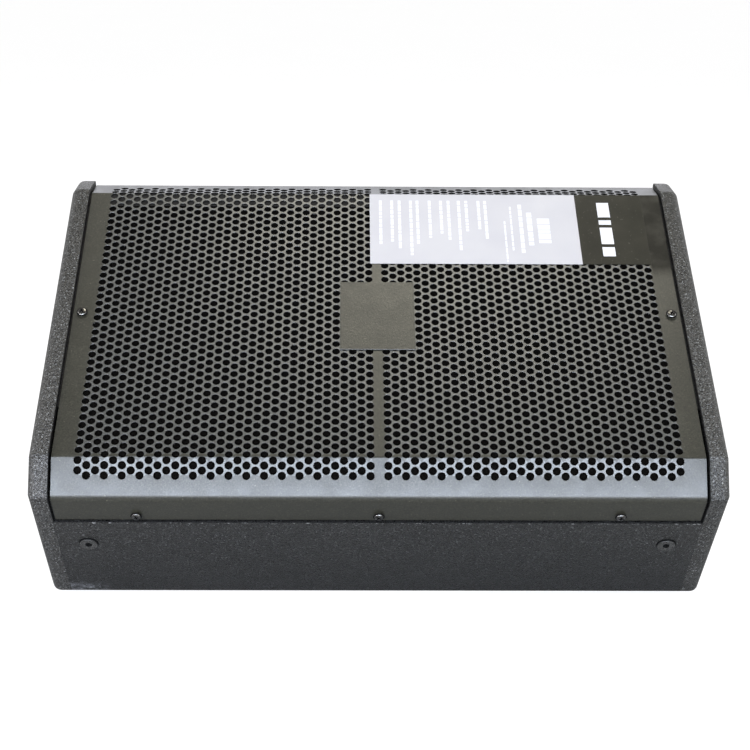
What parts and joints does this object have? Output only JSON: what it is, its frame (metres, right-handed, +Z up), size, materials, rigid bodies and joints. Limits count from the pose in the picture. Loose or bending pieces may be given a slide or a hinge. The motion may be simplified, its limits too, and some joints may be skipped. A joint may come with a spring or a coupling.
{
  "type": "stage monitor wedge",
  "caption": "Floor-standing stage monitor wedge with a bent perforated grille over a woofer and a horn, thick end panels, a recessed input plate, a handle and a pole socket.",
  "frame": {"origin": "on the floor, below the middle of the bounding box", "axes": "+X along the width, to the right as seen from the grille side; +Y from the performer's side to the back; +Z up"},
  "size_m": [0.603, 0.3174, 0.3501],
  "materials": {
    "coating": "textured charcoal coating over birch plywood",
    "black_ply": "birch plywood painted matt black",
    "grille_paint": "satin powder coat",
    "foam": "open-cell foam",
    "screw": "black zinc",
    "label": "printed film",
    "cast_frame": "black die-cast",
    "steel": "zinc-plated steel",
    "magnet": "ferrite",
    "cone_paper": "coated paper",
    "coil_copper": "enamelled copper wire",
    "cloth": "felt and impregnated cloth",
    "plastic": "moulded black plastic",
    "rubber": "black rubber",
    "board": "glass-fibre board",
    "lead": "red film capacitor"
  },
  "bodies": {
    "cabinet": {"end_panel_left": "coating", "end_panel_right": "coating", "lower_front_panel": "coating", "floor_panel": "coating", "rear_panel": "coating", "baffle": "black_ply", "grille_batten_left": "black_ply", "grille_batten_right": "black_ply", "top_rail": "black_ply", "grille": "grille_paint", "grille_foam": "foam", "badge_plate": "grille_paint", "spec_label": "label", "grille_screw_lower_left": "screw", "grille_screw_upper_left": "screw", "grille_screw_lower_middle": "screw", "grille_screw_upper_middle": "screw", "grille_screw_lower_right": "screw", "grille_screw_upper_right": "screw", "grille_screw_side_left": "screw", "rigging_plug_front_left": "screw", "grille_screw_side_right": "screw", "rigging_plug_front_right": "screw", "woofer_basket": "cast_frame", "woofer_top_plate": "steel", "woofer_magnet": "magnet", "woofer_pole_piece": "steel", "port_tube_1": "plastic", "port_tube_2": "plastic", "horn": "plastic", "driver_motor": "magnet", "driver_rear_cap": "cast_frame", "handle_cup": "plastic", "handle_grip": "rubber", "pole_socket": "cast_frame", "input_plate": "steel", "input_socket_left": "plastic", "input_socket_right": "plastic", "mode_switch_body": "plastic", "input_plate_screw_1": "screw", "input_plate_screw_2": "screw", "input_plate_screw_3": "screw", "input_plate_screw_4": "screw", "foot_front_left": "rubber", "foot_rear_left": "rubber", "foot_front_right": "rubber", "foot_rear_right": "rubber", "damping_pad": "cloth", "crossover_board": "board", "crossover_inductor_low": "coil_copper", "crossover_inductor_high": "coil_copper", "crossover_capacitor_low": "lead", "crossover_capacitor_high": "lead"},
    "woofer_moving": {"woofer_cone": "cone_paper", "woofer_dust_cap": "cone_paper", "woofer_voice_coil": "coil_copper", "woofer_surround": "rubber", "woofer_spider": "cloth"},
    "diaphragm": {"driver_diaphragm": "steel"},
    "switch_lever": {"mode_switch_lever": "plastic"}
  },
  "joints": [
    {"name": "woofer_travel", "type": "slide", "parent": "cabinet", "child": "woofer_moving", "axis": [0, -0.5592, 0.829], "range_m": [-0.005, 0.005], "stiffness_N_per_m": 4000, "deforming": ["woofer_surround", "woofer_spider"]},
    {"name": "diaphragm_travel", "type": "slide", "parent": "cabinet", "child": "diaphragm", "axis": [0, -0.5592, 0.829], "range_m": [-0.0004, 0.0004], "stiffness_N_per_m": 28000},
    {"name": "mode_switch_slide", "type": "slide", "parent": "cabinet", "child": "switch_lever", "axis": [1, 0, 0], "range_m": [0, 0.005]}
  ]
}
